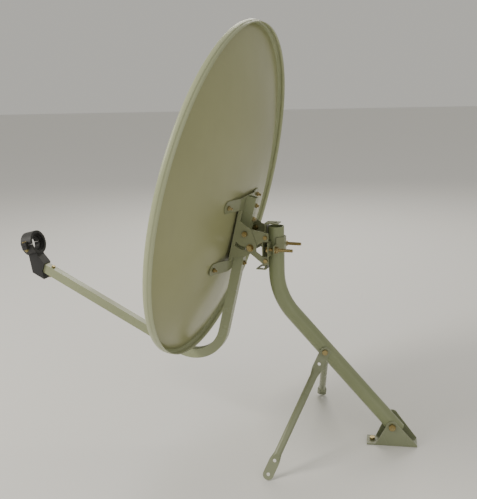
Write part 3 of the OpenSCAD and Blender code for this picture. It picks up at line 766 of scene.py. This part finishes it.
def rib_recipe():
    """Half-ring beads at every seat, with the radius of the seat's own reach."""
    r = Recipe("rib_recipe", Start=RIB_GAP, Bead=0.6 * MM)
    arc = r.geo(
        "CurveArc",
        Resolution=48,
        Radius=1.0,
        Start_Angle=r.given("Start") * math.radians(1),
        Sweep_Angle=math.radians(HALF_TURN - 2 * RIB_GAP),
    ).made
    facing = r.geo("InputNamedAttribute", {"data_type": "FLOAT_VECTOR"}, Name="facing")
    across = r.geo("InputNamedAttribute", {"data_type": "FLOAT_VECTOR"}, Name="across")
    reach = r.geo("InputNamedAttribute", {"data_type": "FLOAT"}, Name="reach")
    stand = r.node("FunctionNodeAlignRotationToVector", {"axis": "Z"}, {"Vector": facing})
    rolled = r.node(
        "FunctionNodeAlignRotationToVector",
        {"axis": "X", "pivot_axis": "Z"},
        {"Vector": across, "Rotation": stand},
    )
    placed = r.geo(
        "InstanceOnPoints",
        Points=r.given("Geometry"),
        Instance=Wire(r, arc.outputs[0]),
        Rotation=rolled,
        Scale=r.node("ShaderNodeCombineXYZ", inputs=[reach, reach, reach]),
    )
    real = r.geo("RealizeInstances", Geometry=placed)
    bead = r.geo("CurvePrimitiveCircle", Resolution=10, Radius=r.given("Bead"))
    swept = r.geo("CurveToMesh", Curve=real, Profile_Curve=bead)
    return r.finish(r.geo("SetShadeSmooth", Geometry=swept))


mounts = {mount["name"]: mount for mount in frame["record"]["mounts"]}
RING = Vector(mounts["feed_clamp"]["pos_m"])
BORE = along(AIM, FORWARD)
# Radius of each rib and its distance from the ring's middle, in millimetres
RIBS = [(24.9, 16.2), (24.9, 14.0), (22.4, 10.6), (22.4, 8.4), (19.9, 4.4), (19.9, 1.6)]


def rib_seats():
    rows = [
        (RING + BORE * (side * offset * MM), reach * MM)
        for reach, offset in RIBS
        for side in (-1, 1)
    ]
    mesh = bpy.data.meshes.new("rib_seats")
    mesh.from_pydata([point for point, reach in rows], [], [])
    for name, kind in (("facing", "FLOAT_VECTOR"), ("across", "FLOAT_VECTOR"), ("reach", "FLOAT")):
        mesh.attributes.new(name, kind, "POINT")
    for i, (point, reach) in enumerate(rows):
        mesh.attributes["facing"].data[i].vector = BORE
        mesh.attributes["across"].data[i].vector = SIDE
        mesh.attributes["reach"].data[i].value = reach
    return mesh


ribs = rib_recipe()
for name, start in (("cap_ribs", RIB_GAP), ("holder_ribs", HALF_TURN + RIB_GAP)):
    rib_mesh = ribs.run(rib_seats(), plastic, Start=start)
    bead_piece = bpy.data.objects.new(name, rib_mesh)
    bpy.context.scene.collection.objects.link(bead_piece)
    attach(bead_piece, "dish")
    print(name, "faces", len(rib_mesh.polygons))

# %% [markdown]
# The studio is plain: a pale floor and three large soft lamps. The strongest stands in front, on
# the right, a weaker one lights the left, and the weakest and widest fills the shade behind.

# %% Floor and lamps
WARM = (1.0, 0.965, 0.88)
CENTRE = Vector((0.0, -0.4, 0.5))
FLOOR_DROP = 0.4 * MM
bpy.ops.mesh.primitive_plane_add(size=30.0, location=(0, CENTRE.y, -FLOOR_DROP))
floor = bpy.context.object
floor.name = "studio_floor"
paper = Finish("studio_paper", Roughness=0.85)
floor.data.materials.append(paper.feeds(Base_Color=(0.80, 0.79, 0.77, 1.0)))


def lamp(name, spot, size, power):
    """A round area lamp that points at the dish."""
    data = bpy.data.lights.new(name, "AREA")
    data.shape = "DISK"
    data.size = size
    data.energy = power
    data.color = WARM
    made = bpy.data.objects.new(name, data)
    bpy.context.scene.collection.objects.link(made)
    made.location = spot
    made.rotation_euler = (CENTRE - Vector(spot)).to_track_quat("-Z", "Y").to_euler()


lamp("key", (1.4, -3.0, 2.4), 1.6, 85.0)
lamp("fill", (2.8, 1.6, 1.4), 2.4, 16.0)
lamp("back", (-2.6, -0.6, 2.4), 2.0, 40.0)
world = bpy.data.worlds.new("studio_air")
world.use_nodes = True
air = world.node_tree.nodes["Background"]
air.inputs["Color"].default_value = (0.93, 0.91, 0.84, 1)
air.inputs["Strength"].default_value = 0.55
bpy.context.scene.world = world

# %% [markdown]
# The camera stands at the side, a little behind the mast, and looks slightly down.


# %% Camera
def aim_camera(spot, heading, pitch, roll, lens):
    """Sets the camera from a level heading, a downward pitch and a clockwise roll, in degrees."""
    level = Vector((heading[0], heading[1], 0)).normalized()
    down = math.radians(pitch)
    ahead = level * math.cos(down) - UP * math.sin(down)
    side = ahead.cross(UP).normalized()
    top = side.cross(ahead)
    turn = math.radians(roll)
    right = side * math.cos(turn) - top * math.sin(turn)
    upward = top * math.cos(turn) + side * math.sin(turn)
    data = bpy.data.cameras.new("camera")
    data.lens = lens
    data.sensor_width = 36.0
    data.sensor_fit = "HORIZONTAL"
    camera = bpy.data.objects.new("camera", data)
    bpy.context.scene.collection.objects.link(camera)
    basis = Matrix((right, upward, -ahead)).transposed().to_4x4()
    camera.matrix_world = Matrix.Translation(spot) @ basis
    bpy.context.scene.camera = camera


aim_camera(
    spot=(1.691, -0.044, 0.906), heading=(-0.9816, -0.1908), pitch=13.78, roll=1.655, lens=55.4
)
